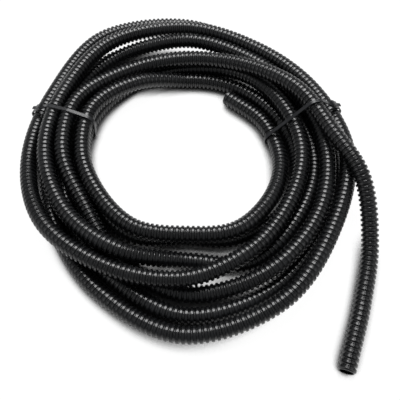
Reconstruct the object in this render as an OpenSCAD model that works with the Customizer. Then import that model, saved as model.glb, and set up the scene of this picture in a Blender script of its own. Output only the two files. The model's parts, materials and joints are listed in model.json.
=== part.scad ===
// Corrugated conduit in a loose hand-wound coil, held by two cable ties.
// Millimetres, +Z up, lying on the floor at z = 0.

/* [Conduit] */
// Outside diameter over the crests
conduit_od = 16; // [13:0.5:25]
// Thickness of the folded wall
wall_t = 0.7; // [0.4:0.05:1.2]
// Distance from one corrugation to the next
wave_pitch = 4.75; // [3:0.05:8]
// Depth of a groove below the crests
wave_depth = 1.3; // [0.6:0.1:2]
// Number of real corrugations on each straight end
end_waves = 3; // [2:1:4]
// Space left between turns that lie side by side
turn_gap = 0.5; // [0.3:0.1:2]

/* [Cable ties] */
// Width of the strap
tie_width = 3.6; // [2.5:0.1:7]
// Thickness of the strap
tie_thick = 1.2; // [0.8:0.1:2]
// Space between strap and conduit
tie_gap = 0.4; // [0.1:0.1:1]
// Length of the lock head along the strap
head_len = 6.5; // [5:0.5:10]
// Width of the lock head
head_width = 6; // [5:0.5:10]
// Height of the lock head
head_high = 4.6; // [3.5:0.1:8]
// Length of the cut tail past the head
stub_len = 7; // [2:0.5:20]

/* [Hidden] */
$fn = 48;

scale_k = conduit_od / 16;
floor_z = conduit_od / 2;
layer_h = conduit_od + turn_gap;
coil_x = -6.5 * scale_k;
coil_y = 7.8 * scale_k;
steps = 2;
sides = 10;
end_len = end_waves * wave_pitch;
bore_d = conduit_od - 2 * (wave_depth + wall_t);
wall_in = bore_d / 2 + 0.4 * wall_t;
left_hour = 9.65;
right_hour = 2.43;
tie_lead = 0.09;

// One row a turn, one pair an hour of the clock from 1 to 12:
// distance from the middle of the coil, and layer above the floor.
turns = [
    [[90, 0.1], [92, 0.1], [94, 0.2], [94, 0.7], [95.5, 1], [88, 1],
     [93, 1], [93.5, 1], [101, 1.1], [109, 1.1], [102.5, 0.9], [103, 0]],
    [[106.5, 0], [108.5, 0.1], [111, 0.1], [108.5, 0], [98, 0], [84, 0],
     [96, 0], [96, 0], [104, 0.1], [111, 0.1], [114.5, 0], [119.5, 0]],
    [[120, 0.6], [113.5, 1.1], [113, 1.1], [112, 1], [119, 1], [130, 1],
     [137, 1], [150, 1], [156, 0.3], [165, 0.1], [192.5, 0], [184, 0]],
    [[158, 0], [148, 0.1], [147, 0.1], [149, 0], [156, 0], [158, 0],
     [138, 0], [124.5, 0], [121, 0.1], [128, 0.1], [134, 0], [136, 0]],
    [[138, 0], [130, 0.1], [128, 0.2], [125, 0.4], [125, 0], [107, 0],
     [119, 1.1], [128, 1.1], [137, 1.1], [146, 1.1], [166, 1], [166, 0.9]],
    [[153.5, 1], [151.5, 1.1], [157, 1.1], [157, 1], [171, 0.75], [176, 0.35],
     [155.5, 0], [141.5, 0], [138, 0.1], [146, 0.1], [157.5, 0], [149, 0.8]],
    [[137, 1], [134.5, 1.1], [137, 1.1], [140.3, 1], [143, 0.8], [138.5, 0],
     [120.5, 0], [109.5, 0.6], [119.5, 1.2], [128, 1.15], [120, 1], [117, 1.15]]
];

// The last stretch, over the bundle and down beside it to the free end:
// across, along, and layer above the floor.
tail = [
    [60, 101, 1.7], [110, 63.5, 2.25], [141, 10, 2.2], [164, -38, 1.85],
    [169, -93, 0.4], [156, -147, 0], [140, -191, 0]
];

function hour_angle(h) = 90 - 30 * h;
function lay(l) = floor_z + l * layer_h;
function polar_pt(h, p) = [
    p[0] * scale_k * cos(hour_angle(h)),
    p[0] * scale_k * sin(hour_angle(h)),
    lay(p[1])
];

knots = concat(
    [for (t = [0 : len(turns) - 1], h = [1 : 12]) polar_pt(h, turns[t][h - 1])],
    [for (p = tail) [p[0] * scale_k, p[1] * scale_k, lay(p[2])]]
);
last = len(knots) - 1;

// A smooth curve through the knots.
function knot(i) = i < 0 ? 2 * knots[0] - knots[1]
    : i > last ? 2 * knots[last] - knots[last - 1] : knots[i];
function blend(a, b, c, d, f) = 0.5 * (2 * b + (c - a) * f
    + (2 * a - 5 * b + 4 * c - d) * f * f + (3 * b - a - 3 * c + d) * f * f * f);
function at(u) = let (i = min(floor(u), last - 1),
    p = blend(knot(i - 1), knot(i), knot(i + 1), knot(i + 2), u - i))
    [p[0], p[1], max(p[2], floor_z)];
function unit(v) = v / norm(v);
function heading(u) = unit(at(min(u + 0.02, last)) - at(max(u - 0.02, start_u)));

start_u = 0.25;
ring_n = last * steps - 1;
us = concat([start_u], [for (i = [1 : ring_n]) i / steps], [last]);

// One ring of the tube, square to its heading.
function ring(u, r) = let (t = heading(u), s = unit(cross([0, 0, 1], t)), n = cross(t, s))
    [for (k = [0 : sides - 1]) at(u) + r * (cos(k * 360 / sides) * s + sin(k * 360 / sides) * n)];

module swept_tube(r_out, r_in) {
    n = len(us);
    m = n * sides;
    outer = [for (u = us) each ring(u, r_out)];
    inner = [for (u = us) each ring(u, r_in)];
    wall_out = [for (i = [0 : n - 2], k = [0 : sides - 1])
        let (a = i * sides + k, b = i * sides + (k + 1) % sides)
        each [[a, b + sides, b], [a, a + sides, b + sides]]];
    wall_bore = [for (f = wall_out) [f[2] + m, f[1] + m, f[0] + m]];
    first = [for (k = [0 : sides - 1]) let (b = (k + 1) % sides)
        each [[k, b + m, k + m], [k, b, b + m]]];
    end = [for (k = [0 : sides - 1]) let (a = m - sides + k, b = m - sides + (k + 1) % sides)
        each [[a, b + m, b], [a, a + m, b + m]]];
    polyhedron(points = concat(outer, inner),
        faces = concat(wall_out, wall_bore, first, end), convexity = 10);
}

root_r = conduit_od / 2 - wave_depth;
crest_w = 0.42 * wave_pitch;
slope_w = 0.12 * wave_pitch;
root_w = wave_pitch - crest_w - 2 * slope_w;
collar = 0.6 * wave_pitch;

// Outline of one side of the wavy wall, from the collar out to the cut face.
function wave(r, i, grow) = let (x = i * wave_pitch)
    [[r, x + root_w - grow], [r + wave_depth, x + root_w + slope_w - grow],
     [r + wave_depth, x + root_w + slope_w + crest_w + grow], [r, x + wave_pitch + grow]];

module wavy_end() {
    out = [for (i = [0 : end_waves - 1]) each wave(root_r, i, 0)];
    in = [for (i = [0 : end_waves - 1]) each wave(bore_d / 2, i, -0.25 * wall_t)];
    rev = [for (i = [len(in) - 1 : -1 : 0]) in[i]];
    face = end_len + 0.5 * root_w;
    rotate_extrude($fn = 48)
        polygon(concat([[root_r, -collar]], out, [[root_r, face], [bore_d / 2, face]],
            rev, [[bore_d / 2, -collar]]));
}

module along(t) {
    rotate([0, acos(t[2]), atan2(t[1], t[0])]) children();
}

module conduit() {
    color("#1b1c1e")
    union() {
        swept_tube(conduit_od / 2, wall_in);
        translate(at(start_u)) along(-heading(start_u)) wavy_end();
        translate(at(last)) along(heading(last)) wavy_end();
    }
}

// Middles of the first n turns where they pass a tie: distance from the coil's
// middle, and height. The strap clears them a little before and after the tie too.
function row(h, n, lead = 0) = [for (t = [0 : n - 1])
    let (p = at(12 * t + h - 1 + lead)) [norm([p[0], p[1]]), p[2]]];
left_row = row(left_hour, len(turns));
right_row = row(right_hour, len(turns) + 1);

module belt(mids, r) {
    hull()
        for (m = mids)
            translate(m) circle(r, $fn = 32);
}

module strap(h, n) {
    r = conduit_od / 2 + tie_gap;
    mids = concat(row(h, n, -tie_lead), row(h, n, tie_lead));
    rotate([90, 0, 0])
        linear_extrude(tie_width, center = true)
            difference() {
                belt(mids, r + tie_thick);
                belt(mids, r);
            }
}

// The lock on the straight stretch of strap between two turns, with its cut tail.
module lock(a, b, f) {
    d = unit(b - a);
    p = a + f * (b - a);
    translate([p[0], 0, p[1]])
        rotate([0, -atan2(d[1], d[0]), 0])
            translate([0, 0, conduit_od / 2 + tie_gap]) {
                translate([-head_len / 2, -head_width / 2, tie_thick / 3])
                    cube([head_len, head_width, head_high]);
                translate([0, -tie_width / 2, 1.5 * tie_thick])
                    rotate([0, -14, 0])
                        cube([head_len / 2 + stub_len, tie_width, tie_thick]);
            }
}

module tie_left() {
    color("#202123")
    rotate([0, 0, hour_angle(left_hour)]) {
        strap(left_hour, len(turns));
        lock(left_row[4], left_row[2], 0.5);
    }
}

module tie_right() {
    color("#202123")
    rotate([0, 0, hour_angle(right_hour)]) {
        strap(right_hour, len(turns) + 1);
        lock(right_row[7], right_row[5], 0.6);
    }
}

translate([coil_x, coil_y, 0]) {
    conduit();
    tie_left();
    tie_right();
}
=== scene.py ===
"""Black corrugated conduit in a loose hand-wound coil, held by two cable ties.

The conduit is one tube with real waves carried along its route. Each cable tie is
a strap that wraps the bundle of turns, with its lock and the toothed cut tail.
"""

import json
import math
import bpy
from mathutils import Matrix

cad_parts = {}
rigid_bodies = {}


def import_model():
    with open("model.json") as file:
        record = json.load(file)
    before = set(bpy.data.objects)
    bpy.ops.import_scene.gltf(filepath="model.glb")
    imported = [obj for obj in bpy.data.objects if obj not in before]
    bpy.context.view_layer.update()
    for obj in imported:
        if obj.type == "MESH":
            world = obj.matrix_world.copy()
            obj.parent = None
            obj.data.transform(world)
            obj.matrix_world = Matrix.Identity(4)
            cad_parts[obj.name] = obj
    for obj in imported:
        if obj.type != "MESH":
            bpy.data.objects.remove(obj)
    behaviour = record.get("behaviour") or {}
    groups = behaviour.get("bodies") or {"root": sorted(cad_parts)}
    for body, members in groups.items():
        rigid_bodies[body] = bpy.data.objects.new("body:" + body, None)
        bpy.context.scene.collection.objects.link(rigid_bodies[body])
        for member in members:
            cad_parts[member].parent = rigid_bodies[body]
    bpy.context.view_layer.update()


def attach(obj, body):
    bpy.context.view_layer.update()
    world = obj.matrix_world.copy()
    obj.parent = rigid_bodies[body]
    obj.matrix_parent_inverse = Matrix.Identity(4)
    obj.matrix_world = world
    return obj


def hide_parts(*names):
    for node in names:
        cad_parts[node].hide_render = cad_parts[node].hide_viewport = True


bl_info = {
    "name": "Corrugated Conduit Coil",
    "version": (1, 0, 0),
    "blender": (4, 5, 0),
    "location": "View3D > Sidebar > Conduit",
    "description": "A coil of corrugated conduit with its two cable ties",
    "category": "Object",
}

import bpy
import numpy as np
from mathutils import Vector

for leftover in list(bpy.data.objects):
    bpy.data.objects.remove(leftover)
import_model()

MM = 0.001

# Middle of the coil in the object's frame, and the height of one layer of turns, in mm.
COIL_MIDDLE = (-6.5, 7.8)
LAYER = 16.5

# One row a turn, one pair an hour of the clock from 1 to 12: distance from the
# middle of the coil in mm, and layer above the floor.
TURNS = np.array([
    [[90, 0.1], [92, 0.1], [94, 0.2], [94, 0.7], [95.5, 1], [88, 1],
     [93, 1], [93.5, 1], [101, 1.1], [109, 1.1], [102.5, 0.9], [103, 0]],
    [[106.5, 0], [108.5, 0.1], [111, 0.1], [108.5, 0], [98, 0], [84, 0],
     [96, 0], [96, 0], [104, 0.1], [111, 0.1], [114.5, 0], [119.5, 0]],
    [[120, 0.6], [113.5, 1.1], [113, 1.1], [112, 1], [119, 1], [130, 1],
     [137, 1], [150, 1], [156, 0.3], [165, 0.1], [192.5, 0], [184, 0]],
    [[158, 0], [148, 0.1], [147, 0.1], [149, 0], [156, 0], [158, 0],
     [138, 0], [124.5, 0], [121, 0.1], [128, 0.1], [134, 0], [136, 0]],
    [[138, 0], [130, 0.1], [128, 0.2], [125, 0.4], [125, 0], [107, 0],
     [119, 1.1], [128, 1.1], [137, 1.1], [146, 1.1], [166, 1], [166, 0.9]],
    [[153.5, 1], [151.5, 1.1], [157, 1.1], [157, 1], [171, 0.75], [176, 0.35],
     [155.5, 0], [141.5, 0], [138, 0.1], [146, 0.1], [157.5, 0], [149, 0.8]],
    [[137, 1], [134.5, 1.1], [137, 1.1], [140.3, 1], [143, 0.8], [138.5, 0],
     [120.5, 0], [109.5, 0.6], [119.5, 1.2], [128, 1.15], [120, 1], [117, 1.15]],
])

# The last stretch to the free end: across and along from the coil's middle, and layer.
TAIL = np.array([
    [60, 101, 1.7], [110, 63.5, 2.25], [141, 10, 2.2], [164, -38, 1.85],
    [169, -93, 0.4], [156, -147, 0], [140, -191, 0],
])

# Where the route starts, as a share of the way from its first point to the second.
ROUTE_START = 0.25

# Where the two ties stand, in hours of the clock round the coil.
LEFT_HOUR = 9.65
RIGHT_HOUR = 2.43

# How far before and after a tie, in hours, its strap still clears the turns.
TIE_LEAD = 0.09

# Each tie holds the first turns at its hour. Its lock stands on the straight stretch of
# strap between two of them, at that share of the way from the first to the second.
TIES = (
    dict(name="cable_tie_left", node="tie_left", hour=LEFT_HOUR, turns=7, between=(4, 2),
         share=0.5),
    dict(name="cable_tie_right", node="tie_right", hour=RIGHT_HOUR, turns=8, between=(7, 5),
         share=0.6),
)

# How finely the shapes are drawn: points of the route from one knot to the next, spacing
# of the path that the cord is measured on, directions tried and points kept round a
# strap, and sides of a lock.
ROUTE_STEPS = 50
BELT_DIRECTIONS = 1440
STRAP_POINTS = 220
LOCK_SIDES = 28


class ConduitSizes(bpy.types.PropertyGroup):
    """Sizes and colour of the corrugated tube."""

    diameter: bpy.props.FloatProperty(
        name="Outside diameter", description="Diameter over the crests",
        default=16 * MM, unit="LENGTH")
    bore: bpy.props.FloatProperty(
        name="Bore", description="Diameter inside the roots of the waves",
        default=12 * MM, unit="LENGTH")
    depth: bpy.props.FloatProperty(
        name="Wave depth", description="From crest to root on the outside",
        default=1.3 * MM, unit="LENGTH")
    pitch: bpy.props.FloatProperty(
        name="Wave pitch", description="From one crest to the next",
        default=4.75 * MM, unit="LENGTH")
    crest: bpy.props.FloatProperty(
        name="Crest share", description="Share of a wave that is its flat crest",
        default=0.42, subtype="FACTOR", min=0, max=1)
    flank: bpy.props.FloatProperty(
        name="Flank share", description="Share of a wave that is one of its two flanks",
        default=0.12, subtype="FACTOR", min=0, max=0.5)
    sides: bpy.props.IntProperty(
        name="Sides", description="Faces around the tube", default=18, min=8)
    end_waves: bpy.props.IntProperty(
        name="Straight waves", description="Waves past the first and last point of the route",
        default=3, min=0)
    open_waves: bpy.props.IntProperty(
        name="Waves inside the ends", description="Waves of the bore made behind each cut",
        default=6, min=1)
    colour: bpy.props.FloatVectorProperty(
        name="Colour", description="Black extruded plastic", subtype="COLOR", size=3,
        default=(0.0045, 0.0047, 0.0052), min=0, max=1)
    worn: bpy.props.FloatVectorProperty(
        name="Rubbed colour", description="Greyer plastic where it has rubbed",
        subtype="COLOR", size=3, default=(0.016, 0.017, 0.019), min=0, max=1)
    roughness: bpy.props.FloatProperty(
        name="Roughness", description="Of the plastic's skin", default=0.27,
        subtype="FACTOR", min=0, max=1)


class TieSizes(bpy.types.PropertyGroup):
    """Sizes and colour of a cable tie."""

    width: bpy.props.FloatProperty(
        name="Strap width", description="Across the strap", default=3.6 * MM, unit="LENGTH")
    thickness: bpy.props.FloatProperty(
        name="Strap thickness", description="Through the strap", default=1.2 * MM,
        unit="LENGTH")
    gap: bpy.props.FloatProperty(
        name="Gap", description="Between the strap and the crests under it",
        default=0.4 * MM, unit="LENGTH")
    head: bpy.props.FloatVectorProperty(
        name="Lock", description="Length, width and height of the lock",
        default=(6.5 * MM, 6 * MM, 4.6 * MM), size=3, unit="LENGTH")
    lift: bpy.props.FloatProperty(
        name="Lock lift", description="Underside of the lock above the strap's inner face",
        default=0.4 * MM, unit="LENGTH")
    tail: bpy.props.FloatProperty(
        name="Cut tail", description="Length of the tail past the lock", default=7 * MM,
        unit="LENGTH")
    tail_slope: bpy.props.FloatProperty(
        name="Tail slope", description="How far the cut tail stands off the strap",
        default=math.radians(14), subtype="ANGLE")
    tail_lift: bpy.props.FloatProperty(
        name="Tail lift", description="Start of the cut tail above the strap's inner face",
        default=1.8 * MM, unit="LENGTH")
    tooth: bpy.props.FloatProperty(
        name="Tooth pitch", description="From one tooth of the strap to the next",
        default=0.9 * MM, unit="LENGTH")
    bite: bpy.props.FloatProperty(
        name="Tooth depth", description="How deep the teeth are cut",
        default=0.28 * MM, unit="LENGTH")
    edge: bpy.props.FloatProperty(
        name="Broken edge", description="Width of the strap's broken edges",
        default=0.2 * MM, unit="LENGTH")
    soft: bpy.props.FloatProperty(
        name="Lock edge", description="Width of the lock's soft edges",
        default=0.5 * MM, unit="LENGTH")
    slot_depth: bpy.props.FloatProperty(
        name="Slot depth", description="Of the slot in the lock's front",
        default=3 * MM, unit="LENGTH")
    colour: bpy.props.FloatVectorProperty(
        name="Colour", description="Black moulded nylon", subtype="COLOR", size=3,
        default=(0.009, 0.0095, 0.011), min=0, max=1)
    roughness: bpy.props.FloatProperty(
        name="Roughness", description="Of the moulded nylon", default=0.38,
        subtype="FACTOR", min=0, max=1)


class StageSizes(bpy.types.PropertyGroup):
    """The floor, the lamps and the camera."""

    distance: bpy.props.FloatProperty(
        name="Camera distance", description="From the point that it looks at",
        default=534 * MM, unit="LENGTH")
    elevation: bpy.props.FloatProperty(
        name="Camera elevation", description="Above the floor", default=math.radians(62),
        subtype="ANGLE")
    lens: bpy.props.FloatProperty(
        name="Lens", description="Focal length in millimetres", default=48.97)
    across: bpy.props.FloatProperty(
        name="Look across", description="From the coil's middle to where the camera looks",
        default=14 * MM, unit="LENGTH")
    along: bpy.props.FloatProperty(
        name="Look along", description="From the coil's middle to where the camera looks",
        default=-40 * MM, unit="LENGTH")
    key: bpy.props.FloatProperty(
        name="Key lamp", description="Power of the large lamp above and behind, in watts",
        default=22.0)
    fill: bpy.props.FloatProperty(
        name="Fill lamps", description="Power of each lamp at the sides, in watts",
        default=1.6)
    key_size: bpy.props.FloatProperty(
        name="Key size", description="Width of the key lamp in metres", default=0.8)
    fill_size: bpy.props.FloatProperty(
        name="Fill size", description="Width of each fill lamp in metres", default=0.8)
    sky: bpy.props.FloatProperty(
        name="Room light", description="Strength of the light from all round",
        default=0.3)
    # Painted shade: within this reach, ambient occlusion darkens the floor's glow near the coil
    # and in the slits between its turns.
    shade: bpy.props.FloatProperty(
        name="Shade reach", description="How far from the coil the floor turns dark",
        default=16 * MM, unit="LENGTH")
    glow: bpy.props.FloatProperty(
        name="Floor glow", description="Brightness of the open floor to the camera",
        default=1.06)
    glow_share: bpy.props.FloatProperty(
        name="Glow share", description="Share of the floor's look that is glow",
        default=0.92, subtype="FACTOR", min=0, max=1)
    reach: bpy.props.FloatProperty(
        name="Floor reach", description="Half the width of the floor in metres", default=6.0)
    floor: bpy.props.FloatVectorProperty(
        name="Floor colour", description="Pale floor", subtype="COLOR", size=3,
        default=(0.9, 0.9, 0.9), min=0, max=1)


def route_knots(radius):
    """Points of the turns and of the last stretch, from the coil's middle: hour h of
    the clock stands at 90 - 30 h degrees, and a level lifts the tube's middle by one
    layer from where it rests on the floor."""
    angle = np.radians(90 - 30 * np.arange(1, 13))
    out = TURNS[..., 0]
    turns = np.stack([out * np.cos(angle), out * np.sin(angle), TURNS[..., 1]], -1)
    knots = np.vstack([turns.reshape(-1, 3), TAIL]) * MM
    knots[:, 2] = radius + knots[:, 2] * LAYER
    return knots


def spline(knots, u, lowest):
    """Catmull-Rom curve through the knots at the places u, one knot apart per unit,
    never lower than the height lowest: each stretch is the cubic that passes its two
    knots with the slope of the line between their neighbours."""
    knots = np.vstack([2 * knots[0] - knots[1], knots, 2 * knots[-1] - knots[-2]])
    i = np.minimum(u.astype(int), len(knots) - 4)
    f = (u - i)[:, None]
    a, b, c, d = (knots[i + k] for k in range(4))
    line = 0.5 * (2 * b + (c - a) * f + (2 * a - 5 * b + 4 * c - d) * f**2
                  + (3 * b - a - 3 * c + d) * f**3)
    line[:, 2] = np.maximum(line[:, 2], lowest)
    return line


def unit(v):
    """The vectors at length one."""
    return v / np.linalg.norm(v, axis=-1, keepdims=True)


class Route:
    """The middle line of the tube, measured in metres from its inner cut end."""

    def __init__(self, diameter, end):
        """end is the straight stretch of tube past the first and the last point."""
        radius = diameter / 2
        knots = route_knots(radius)
        u = np.linspace(ROUTE_START, len(knots) - 1, ROUTE_STEPS * len(knots))
        line = spline(knots, u, radius)
        line[:, :2] += np.array(COIL_MIDDLE) * MM
        first, last = unit(line[0] - line[1]), unit(line[-1] - line[-2])
        self.line = np.vstack([line[0] + end * first, line, line[-1] + end * last])
        steps = np.linalg.norm(np.diff(self.line, axis=0), axis=1)
        self.along = np.concatenate([[0], np.cumsum(steps)])
        self.length = float(self.along[-1])

    def at(self, s):
        """Points at the distances s."""
        return np.stack([np.interp(s, self.along, self.line[:, k]) for k in range(3)], -1)

    def axes(self, s):
        """Directions along, sideways and upwards at s. Sideways is level and square to
        the direction along, and upwards is square to both."""
        reach = 2.5 * MM
        lo = np.clip(s - reach, 0, self.length - 2 * reach)
        ahead = unit(self.at(lo + 2 * reach) - self.at(lo))
        side = unit(np.cross([0, 0, 1], ahead))
        return ahead, side, np.cross(ahead, side)


def wave_profile(sizes, length):
    """Distance along the tube and radius of each ring of the tube, from the middle of
    the bore behind the first cut, out round its edge, along every crest and root,
    and back into the far end. A whole number of waves fits between half roots."""
    crest_r = sizes.diameter / 2
    root_r = crest_r - sizes.depth
    wall = root_r - sizes.bore / 2
    root = 1 - sizes.crest - 2 * sizes.flank
    count = round(length / sizes.pitch)
    pitch = length / count
    steps = np.array([0, sizes.flank, sizes.flank + sizes.crest,
                      2 * sizes.flank + sizes.crest])
    rise = np.array([0, 1, 1, 0])
    start = 0.5 * root + np.arange(count)[:, None]
    along = ((start + steps) * pitch).ravel()
    outside = np.tile(root_r + rise * sizes.depth, count)
    inner = sizes.open_waves * 4
    near, near_r = along[:inner][::-1], outside[:inner][::-1] - wall
    far, far_r = along[-inner:][::-1], outside[-inner:][::-1] - wall
    s = np.concatenate([near, [0, 0], along, [length, length], far])
    r = np.concatenate([near_r, [root_r - wall, root_r], outside,
                        [root_r, root_r - wall], far_r])
    return s, r


def grid_faces(rows, columns, loop=False):
    """Quads of a grid whose last column meets its first, and with loop its last row
    meets its first row too."""
    row = np.arange(rows if loop else rows - 1)[:, None]
    column = np.arange(columns)
    after, beside = (row + 1) % rows, (column + 1) % columns
    return np.stack([row * columns + column, row * columns + beside,
                     after * columns + beside, after * columns + column], -1).reshape(-1, 4)


def fans(rows, columns):
    """Triangles that close the first and the last row of such a grid on two points
    that follow it in the list of vertices."""
    column = np.arange(columns)
    beside = (column + 1) % columns
    start = np.full(columns, rows * columns)
    end = (rows - 1) * columns
    first = np.stack([start, beside, column], -1)
    last = np.stack([start + 1, end + column, end + beside], -1)
    return np.vstack([first, last])


def new_piece(name, points, faces, smooth=True):
    """An object at the origin whose mesh has these points and faces, where faces are
    whole arrays of quads and triangles."""
    mesh = bpy.data.meshes.new(name)
    sizes = np.concatenate([np.full(len(f), f.shape[1]) for f in faces])
    corners = np.concatenate([f.ravel() for f in faces])
    mesh.vertices.add(len(points))
    mesh.vertices.foreach_set("co", np.ascontiguousarray(points, np.float32).ravel())
    mesh.loops.add(len(corners))
    mesh.loops.foreach_set("vertex_index", corners.astype(np.int32))
    mesh.polygons.add(len(sizes))
    starts = np.concatenate([[0], np.cumsum(sizes)[:-1]])
    mesh.polygons.foreach_set("loop_start", starts.astype(np.int32))
    mesh.polygons.foreach_set("use_smooth", np.full(len(sizes), smooth))
    mesh.update(calc_edges=True)
    mesh.validate()
    piece = bpy.data.objects.new(name, mesh)
    bpy.context.scene.collection.objects.link(piece)
    return piece


def sharpen_rings(piece, columns, chosen):
    """Keeps the shading apart on both sides of the chosen rows of a grid of that many
    columns, so that what lies between two of them shades flat along the tube."""
    mesh = piece.data
    ends = np.zeros(2 * len(mesh.edges), np.int32)
    mesh.edges.foreach_get("vertices", ends)
    first, second = (ends.reshape(-1, 2) // columns).T
    sharp = (first == second) & chosen[np.minimum(first, len(chosen) - 1)]
    mesh.attributes.new("sharp_edge", "BOOLEAN", "EDGE").data.foreach_set("value", sharp)


def add_route_map(piece, s, angle):
    """A UV map named route: distance along the tube in metres, and share of the way
    round it. Corners past the seam read one whole turn instead of none."""
    mesh = piece.data
    corner = np.zeros(len(mesh.loops), np.int32)
    mesh.loops.foreach_get("vertex_index", corner)
    across = angle[corner]
    sizes = np.zeros(len(mesh.polygons), np.int32)
    mesh.polygons.foreach_get("loop_total", sizes)
    face = np.repeat(np.arange(len(sizes)), sizes)
    widest = np.zeros(len(sizes))
    np.maximum.at(widest, face, across)
    across = np.where((across < 0.25) & (widest[face] > 0.75), across + 1, across)
    layer = mesh.uv_layers.new(name="route")
    layer.data.foreach_set("uv", np.stack([s[corner], across], -1).astype(np.float32).ravel())


class Socket:
    """A number in a material. Arithmetic on it adds the Math node that it needs."""

    def __init__(self, finish, socket):
        self.finish, self.socket = finish, socket

    def _math(self, operation, *values):
        values = [v.socket if isinstance(v, Socket) else v for v in values]
        node = self.finish.node("ShaderNodeMath", {"operation": operation},
                                dict(enumerate(values)))
        return Socket(self.finish, node.outputs[0])

    def __add__(self, other):
        return self._math("ADD", self, other)

    def __sub__(self, other):
        return self._math("SUBTRACT", self, other)

    def __rsub__(self, other):
        return self._math("SUBTRACT", other, self)

    def __mul__(self, other):
        return self._math("MULTIPLY", self, other)

    def __abs__(self):
        return self._math("ABSOLUTE", self)

    __radd__ = __add__
    __rmul__ = __mul__

    def fract(self):
        """What is left after the last whole number."""
        return self._math("FRACT", self)

    def between(self, low, high):
        """0 below low and 1 above high, smooth between."""
        node = self.finish.node(
            "ShaderNodeMapRange",
            {"interpolation_type": "SMOOTHSTEP"},
            {"Value": self.socket, "From Min": low, "From Max": high})
        return Socket(self.finish, node.outputs["Result"])


class Finish:
    """A material on a Principled shader, built from its nodes."""

    def __init__(self, name, colour, roughness):
        self.material = bpy.data.materials.new(name)
        self.material.use_nodes = True
        self.tree = self.material.node_tree
        self.shader = self.tree.nodes["Principled BSDF"]
        self.shader.inputs["Base Color"].default_value = (*colour, 1)
        self.shader.inputs["Roughness"].default_value = roughness
        self.material.diffuse_color = (*colour, 1)

    def node(self, kind, settings=None, inputs=None):
        """A node of that kind: its settings first, then values or links by socket."""
        node = self.tree.nodes.new(kind)
        for key, value in (settings or {}).items():
            setattr(node, key, value)
        for key, value in (inputs or {}).items():
            value = value.socket if isinstance(value, Socket) else value
            if isinstance(value, bpy.types.NodeSocket):
                self.tree.links.new(value, node.inputs[key])
            else:
                node.inputs[key].default_value = value
        return node

    def place(self):
        """Object coordinates."""
        return self.node("ShaderNodeTexCoord").outputs["Object"]

    def noise(self, scale, detail=3.0, rough=0.55):
        """Smooth random values around a half, with spots about 1 / scale across."""
        node = self.node("ShaderNodeTexNoise", None, {
            "Vector": self.place(), "Scale": scale, "Detail": detail, "Roughness": rough})
        return Socket(self, node.outputs["Fac"])

    def mix(self, share, first, second):
        """Colour between the colours first and second."""
        node = self.node("ShaderNodeMix", {"data_type": "RGBA"},
                         {0: share, 6: (*first, 1), 7: (*second, 1)})
        return node.outputs[2]

    def feed(self, name, value):
        """Links a value or a colour to the shader."""
        value = value.socket if isinstance(value, Socket) else value
        self.tree.links.new(value, self.shader.inputs[name])

    def bump(self, height, distance, strength):
        """Relief of that height in metres, on the shader's normal."""
        node = self.node("ShaderNodeBump", None, {
            "Height": height, "Distance": distance, "Strength": strength})
        self.tree.links.new(node.outputs["Normal"], self.shader.inputs["Normal"])


def conduit_plastic(sizes):
    """Black extruded plastic: semi-gloss skin that is a little uneven from wave to
    wave, rubbed grey here and there, with the mould's parting line on both sides."""
    finish = Finish("conduit_plastic", sizes.colour, sizes.roughness)
    route = finish.node("ShaderNodeUVMap", {"uv_map": "route"}).outputs["UV"]
    split = finish.node("ShaderNodeSeparateXYZ", None, {"Vector": route})
    around = Socket(finish, split.outputs["Y"])
    cloudy = finish.noise(scale=38.0, detail=4.0)
    rubs = finish.noise(scale=420.0, detail=5.0, rough=0.7).between(0.56, 0.78)
    grain = finish.noise(scale=2600.0)
    parting = 1 - abs((around * 2).fract() - 0.5).between(0.0, 0.012)
    grey = cloudy.between(0.42, 0.72) * 0.35 + rubs * 0.4
    finish.feed("Base Color", finish.mix(grey, sizes.colour, sizes.worn))
    finish.feed("Roughness", sizes.roughness - 0.07 + cloudy * 0.14 + rubs * 0.12)
    finish.bump(grain * 0.05 + parting * 0.4 + rubs * 0.1, distance=0.2 * MM, strength=0.6)
    return finish.material


def tie_plastic(sizes):
    """Black moulded nylon: satin, with faint flow marks and a fine grain."""
    finish = Finish("tie_plastic", sizes.colour, sizes.roughness)
    flow = finish.noise(scale=160.0)
    grain = finish.noise(scale=3200.0, detail=2.0)
    pale = tuple(2.4 * c for c in sizes.colour)
    finish.feed("Base Color", finish.mix(flow.between(0.4, 0.75) * 0.5, sizes.colour, pale))
    finish.feed("Roughness", sizes.roughness - 0.05 + flow * 0.12)
    finish.bump(grain, distance=0.02 * MM, strength=0.5)
    return finish.material


class CONDUIT_OT_make_conduit(bpy.types.Operator):
    """Make the corrugated tube along its route"""

    bl_idname = "conduit.make_conduit"
    bl_label = "Make Conduit"

    def execute(self, context):
        sizes = context.scene.conduit_sizes
        route = Route(sizes.diameter, straight_end(sizes))
        s, r = wave_profile(sizes, route.length)
        sides = sizes.sides
        turn = np.arange(sides) / sides
        angle = 2 * np.pi * turn
        ahead, side, up = route.axes(s)
        spoke = np.cos(angle)[:, None] * side[:, None] + np.sin(angle)[:, None] * up[:, None]
        skin = route.at(s)[:, None] + r[:, None, None] * spoke
        points = np.vstack([skin.reshape(-1, 3), route.at(s[[0, -1]])])
        faces = [grid_faces(len(s), sides), fans(len(s), sides)]
        piece = new_piece("corrugated_conduit", points, faces)
        cut = (s == 0) | (s == route.length)
        sharpen_rings(piece, sides, cut | np.isclose(r, sizes.diameter / 2))
        along = np.concatenate([np.repeat(s, sides), s[[0, -1]]])
        add_route_map(piece, along, np.concatenate([np.tile(turn, len(s)), [0, 0]]))
        piece.data.materials.append(conduit_plastic(sizes))
        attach(piece, "root")
        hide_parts("conduit")
        return {"FINISHED"}


def straight_end(sizes):
    """Length of tube past the first and the last point of the route: whole waves and
    half a root."""
    root = 1 - sizes.crest - 2 * sizes.flank
    return (sizes.end_waves + 0.5 * root) * sizes.pitch


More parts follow.
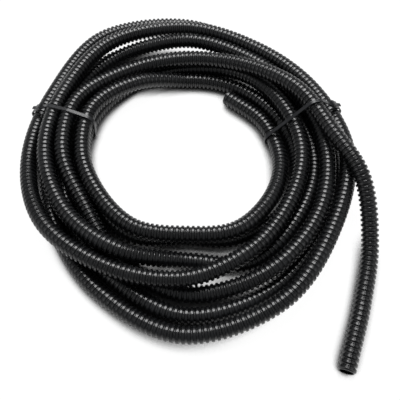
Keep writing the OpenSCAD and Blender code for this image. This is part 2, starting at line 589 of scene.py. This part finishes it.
def belt(middles, reach):
    """Outline of a strap pulled round a bundle of round tubes: for every direction
    the point that lies furthest that way, reach beyond the outermost middle. Gives
    points an equal distance apart, and the outward direction at each."""
    angle = np.linspace(0, 2 * np.pi, BELT_DIRECTIONS, endpoint=False)
    outward = np.stack([np.cos(angle), np.sin(angle)], -1)
    furthest = np.argmax(outward @ middles.T, axis=1)
    ring = middles[furthest] + reach * outward
    ring, outward = np.vstack([ring, ring[:1]]), np.vstack([outward, outward[:1]])
    far = np.concatenate([[0], np.cumsum(np.linalg.norm(np.diff(ring, axis=0), axis=1))])
    at = np.linspace(0, far[-1], STRAP_POINTS, endpoint=False)
    ring, outward = (np.stack([np.interp(at, far, v[:, k]) for k in range(2)], -1)
                     for v in (ring, outward))
    return ring, unit(outward)


def strap_section(sizes):
    """Section of the strap with its edges broken: across it, and out from it."""
    w, t, e = sizes.width / 2, sizes.thickness, sizes.edge
    return np.array([[-w + e, 0], [-w, e], [-w, t - e], [-w + e, t],
                     [w - e, t], [w, t - e], [w, e], [w - e, 0]])


def rounded_ring(half_across, half_high, power=5.0):
    """A rectangle with soft corners: a superellipse, |x/a|^p + |y/b|^p = 1."""
    t = 2 * np.pi * (np.arange(LOCK_SIDES) + 0.5) / LOCK_SIDES
    c, s = np.cos(t), np.sin(t)
    size = (np.abs(c) ** power + np.abs(s) ** power) ** (-1 / power)
    return np.stack([half_across * size * c, half_high * size * s], -1)


def lock_shape(sizes):
    """The lock as rings carried along the strap: closed at the back, a soft edge,
    the full section, a soft edge at the front and the slot that goes back in.
    Columns are along the strap, across it, and out from the bundle."""
    half, wide, high = (size / 2 for size in sizes.head)
    soft = sizes.soft
    slot = (sizes.width / 2 + 0.5 * soft, sizes.thickness * 0.9)
    stations = [
        (-half, wide - 1.6 * soft, high - 1.6 * soft),
        (-half + 0.4 * soft, wide - 0.5 * soft, high - 0.5 * soft),
        (-half + 1.3 * soft, wide, high),
        (half - soft, wide, high),
        (half - 0.25 * soft, wide - 0.3 * soft, high - 0.3 * soft),
        (half, wide - soft, high - soft),
        (half, *slot),
        (half - sizes.slot_depth, *slot),
    ]
    rings = [np.column_stack([np.full(LOCK_SIDES, x), rounded_ring(a, b)])
             for x, a, b in stations]
    ends = [[stations[0][0], 0, 0], [stations[-1][0], 0, 0]]
    points = np.vstack([*rings, ends]) + [0, 0, sizes.lift + high]
    return points, [grid_faces(len(rings), LOCK_SIDES), fans(len(rings), LOCK_SIDES)]


def tail_shape(sizes):
    """The cut tail: the strap's section carried along a sloping line, its inner face
    in saw teeth, a slow rise and a sharp drop for each."""
    section = strap_section(sizes)
    drop = 0.05 * MM
    teeth = int((sizes.head[0] / 2 + sizes.tail) / sizes.tooth)
    along = np.sort(np.concatenate([
        np.arange(teeth) * sizes.tooth, np.arange(1, teeth + 1) * sizes.tooth - drop]))
    bite = np.where(np.arange(len(along)) % 2 == 0, 0.0, sizes.bite)
    out = np.tile(section, (len(along), 1, 1))
    lower = section[:, 1] < sizes.thickness / 2
    out[:, lower, 1] += bite[:, None]
    c, s = math.cos(sizes.tail_slope), math.sin(sizes.tail_slope)
    x = along[:, None] * c - out[..., 1] * s
    z = sizes.tail_lift + along[:, None] * s + out[..., 1] * c
    points = np.stack([x, out[..., 0], z], -1)
    ends = points[[0, -1]].mean(axis=1)
    return (np.vstack([points.reshape(-1, 3), ends]),
            [grid_faces(len(along), len(section)), fans(len(along), len(section))])


def tie_row(hour, turns, radius):
    """Middles of the first turns at that hour: distance from the coil's middle, and
    height."""
    spots = spline(route_knots(radius), 12 * np.arange(turns) + hour - 1, radius)
    return np.column_stack([np.hypot(spots[:, 0], spots[:, 1]), spots[:, 2]])


def tie_piece(name, hour, turns, between, share, sizes, tube):
    """A cable tie square to the bundle of the first turns at that hour. The strap
    follows its belt, and the lock stands on the straight stretch between two turns."""
    place = np.array([*COIL_MIDDLE, 0]) * MM
    a = math.radians(90 - 30 * hour)
    out, across, up = np.array([
        [math.cos(a), math.sin(a), 0], [math.sin(a), -math.cos(a), 0], [0, 0, 1]])
    reach = tube / 2 + sizes.gap
    middles = tie_row(hour, turns, tube / 2)
    under = np.vstack([tie_row(hour + side * TIE_LEAD, turns, tube / 2) for side in (-1, 1)])
    ring, outward = belt(under, reach)
    section = strap_section(sizes)
    flat = ring[:, None] + section[:, 1][:, None] * outward[:, None]
    strap = (place + flat[..., :1] * out + flat[..., 1:] * up
             + section[:, 0][:, None] * across)
    first, second = middles[list(between)]
    d = unit(second - first)
    n = np.array([-d[1], d[0]])
    spot = first + share * (second - first) + reach * n
    base = place + spot[0] * out + spot[1] * up
    axes = np.array([d[0] * out + d[1] * up, across, n[0] * out + n[1] * up])
    shapes = [(strap.reshape(-1, 3), [grid_faces(len(ring), len(section), loop=True)])]
    shapes += [(base + p @ axes, f) for p, f in (lock_shape(sizes), tail_shape(sizes))]
    points, faces, count = [], [], 0
    for p, fs in shapes:
        points.append(p)
        faces += [f + count for f in fs]
        count += len(p)
    quads = np.vstack([f for f in faces if f.shape[1] == 4])
    triangles = np.vstack([f for f in faces if f.shape[1] == 3])
    return new_piece(name, np.vstack(points), [quads, triangles], smooth=False)


class CONDUIT_OT_make_ties(bpy.types.Operator):
    """Make the two cable ties round the bundle of turns"""

    bl_idname = "conduit.make_ties"
    bl_label = "Make Cable Ties"

    def execute(self, context):
        sizes, tube = context.scene.tie_sizes, context.scene.conduit_sizes.diameter
        material = tie_plastic(sizes)
        for tie in TIES:
            piece = tie_piece(tie["name"], tie["hour"], tie["turns"], tie["between"],
                              tie["share"], sizes, tube)
            piece.data.materials.append(material)
            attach(piece, "root")
            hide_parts(tie["node"])
        return {"FINISHED"}


def lamp(name, spot, power, size):
    """A square area lamp that points at the middle of the floor."""
    data = bpy.data.lights.new(name, "AREA")
    data.energy, data.shape, data.size = power, "SQUARE", size
    light = bpy.data.objects.new(name, data)
    light.location = spot
    light.rotation_euler = (-Vector(spot)).to_track_quat("-Z", "Y").to_euler()
    bpy.context.scene.collection.objects.link(light)


class CONDUIT_OT_make_camera(bpy.types.Operator):
    """Make the camera that looks down at the coil"""

    bl_idname = "conduit.make_camera"
    bl_label = "Make Camera"

    def execute(self, context):
        stage = context.scene.stage_sizes
        aim = Vector((COIL_MIDDLE[0] * MM + stage.across, COIL_MIDDLE[1] * MM + stage.along, 0))
        back = Vector((0, -math.cos(stage.elevation), math.sin(stage.elevation)))
        data = bpy.data.cameras.new("camera")
        data.lens, data.sensor_width = stage.lens, 36
        data.clip_start, data.clip_end = 0.01, 50
        camera = bpy.data.objects.new("camera", data)
        camera.location = aim + stage.distance * back
        camera.rotation_euler = (-back).to_track_quat("-Z", "Y").to_euler()
        context.scene.collection.objects.link(camera)
        context.scene.camera = camera
        return {"FINISHED"}


class CONDUIT_OT_make_stage(bpy.types.Operator):
    """Make the pale floor, the soft lamps and the room's light"""

    bl_idname = "conduit.make_stage"
    bl_label = "Make Stage"

    def execute(self, context):
        stage = context.scene.stage_sizes
        self.floor(stage)
        lamp("key", (0.0, 0.75, 1.35), stage.key, stage.key_size)
        lamp("left", (-1.2, -0.3, 0.9), stage.fill, stage.fill_size)
        lamp("right", (1.2, -0.3, 0.9), stage.fill, stage.fill_size)
        self.room(context, stage)
        context.scene.view_settings.view_transform = "Standard"
        return {"FINISHED"}

    @staticmethod
    def floor(stage):
        """A wide plane that looks white to the camera and keeps the soft shadow; its glow is
        darkened by ambient occlusion near the coil and between its turns, as painted shade.
        """
        reach = stage.reach
        mesh = bpy.data.meshes.new("floor")
        mesh.from_pydata([(-reach, -reach, 0), (reach, -reach, 0), (reach, reach, 0),
                          (-reach, reach, 0)], [], [(0, 1, 2, 3)])
        floor = bpy.data.objects.new("floor", mesh)
        bpy.context.scene.collection.objects.link(floor)
        finish = Finish("floor", stage.floor, 0.9)
        rays = finish.node("ShaderNodeLightPath").outputs
        seen = Socket(finish, rays["Is Camera Ray"]) + Socket(finish, rays["Is Glossy Ray"])
        # Painted shade: ambient occlusion within the shade reach darkens the floor's glow, so
        # the floor turns dark near the coil and in the slits between its turns.
        painted_shade_occlusion = finish.node("ShaderNodeAmbientOcclusion", {"samples": 8},
                           {"Distance": stage.shade})
        painted_shade_factor = Socket(finish, painted_shade_occlusion.outputs["AO"]).between(0.42, 0.78)
        glow = finish.node("ShaderNodeEmission", None, {"Strength": painted_shade_factor * stage.glow})
        mixed = finish.node("ShaderNodeMixShader", None, {
            0: seen * stage.glow_share, 1: finish.shader.outputs[0], 2: glow.outputs[0]})
        out = finish.tree.nodes["Material Output"]
        finish.tree.links.new(mixed.outputs[0], out.inputs["Surface"])
        finish.shader.inputs["Specular IOR Level"].default_value = 0.0
        mesh.materials.append(finish.material)

    @staticmethod
    def room(context, stage):
        """Soft light from all round, white where the camera looks at it."""
        world = context.scene.world or bpy.data.worlds.new("room")
        context.scene.world = world
        world.use_nodes = True
        nodes, links = world.node_tree.nodes, world.node_tree.links
        nodes.clear()
        rays = nodes.new("ShaderNodeLightPath")
        soft, white = nodes.new("ShaderNodeBackground"), nodes.new("ShaderNodeBackground")
        soft.inputs["Strength"].default_value = stage.sky
        soft.inputs["Color"].default_value = (0.96, 0.98, 1, 1)
        white.inputs["Strength"].default_value = 1
        white.inputs["Color"].default_value = (1, 1, 1, 1)
        mixed, out = nodes.new("ShaderNodeMixShader"), nodes.new("ShaderNodeOutputWorld")
        links.new(rays.outputs["Is Camera Ray"], mixed.inputs[0])
        links.new(soft.outputs[0], mixed.inputs[1])
        links.new(white.outputs[0], mixed.inputs[2])
        links.new(mixed.outputs[0], out.inputs["Surface"])


class CONDUIT_PT_panel(bpy.types.Panel):
    """The sidebar panel"""

    bl_label = "Corrugated Conduit Coil"
    bl_idname = "CONDUIT_PT_panel"
    bl_space_type = "VIEW_3D"
    bl_region_type = "UI"
    bl_category = "Conduit"

    def draw(self, context):
        scene = context.scene
        for group, makers in (
                (scene.conduit_sizes, (CONDUIT_OT_make_conduit,)),
                (scene.tie_sizes, (CONDUIT_OT_make_ties,)),
                (scene.stage_sizes, (CONDUIT_OT_make_camera, CONDUIT_OT_make_stage))):
            box = self.layout.box()
            for name in group.__annotations__:
                box.prop(group, name)
            for maker in makers:
                box.operator(maker.bl_idname)


CLASSES = (
    ConduitSizes, TieSizes, StageSizes, CONDUIT_OT_make_camera, CONDUIT_OT_make_conduit,
    CONDUIT_OT_make_ties, CONDUIT_OT_make_stage, CONDUIT_PT_panel,
)


def register():
    for cls in CLASSES:
        bpy.utils.register_class(cls)
    bpy.types.Scene.conduit_sizes = bpy.props.PointerProperty(type=ConduitSizes)
    bpy.types.Scene.tie_sizes = bpy.props.PointerProperty(type=TieSizes)
    bpy.types.Scene.stage_sizes = bpy.props.PointerProperty(type=StageSizes)


def unregister():
    del bpy.types.Scene.stage_sizes
    del bpy.types.Scene.tie_sizes
    del bpy.types.Scene.conduit_sizes
    for cls in reversed(CLASSES):
        bpy.utils.unregister_class(cls)


def main():
    """Makes everything in order."""
    register()
    bpy.ops.conduit.make_camera()
    bpy.ops.conduit.make_conduit()
    bpy.ops.conduit.make_ties()
    bpy.ops.conduit.make_stage()
    bpy.context.view_layer.update()


if __name__ == "__main__":
    main()
